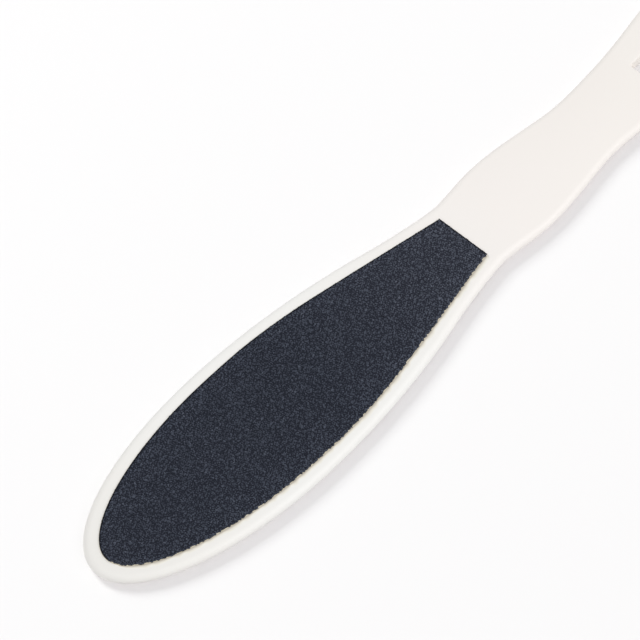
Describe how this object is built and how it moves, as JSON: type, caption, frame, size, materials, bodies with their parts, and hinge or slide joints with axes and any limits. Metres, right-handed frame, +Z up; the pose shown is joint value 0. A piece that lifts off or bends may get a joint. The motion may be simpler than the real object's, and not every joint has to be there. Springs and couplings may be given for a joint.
{
  "type": "foot file",
  "caption": "Paddle foot file: a leaf-shaped blade with an abrasive sheet on each face, and a slim waisted handle with a hang slot at its flared end.",
  "frame": {"origin": "centre of the overall box at its lowest level, on the surface that the file lies on", "axes": "+X from the blade's tip to the end of the handle, +Y across the blade, +Z up out of the coarse face"},
  "size_m": [0.254, 0.046, 0.0041],
  "materials": {
    "ivory_plastic": "satin moulded",
    "adhesive": "tacky film, hidden",
    "backing_paper": "cut kraft edge",
    "coarse_grit": "coarse abrasive grains",
    "fine_grit": "fine abrasive grains"
  },
  "bodies": {
    "root": {"paddle": "ivory_plastic", "coarse_adhesive_film": "adhesive", "coarse_backing_paper": "backing_paper", "coarse_grit_coat": "coarse_grit", "fine_adhesive_film": "adhesive", "fine_backing_paper": "backing_paper", "fine_grit_coat": "fine_grit"}
  },
  "joints": []
}
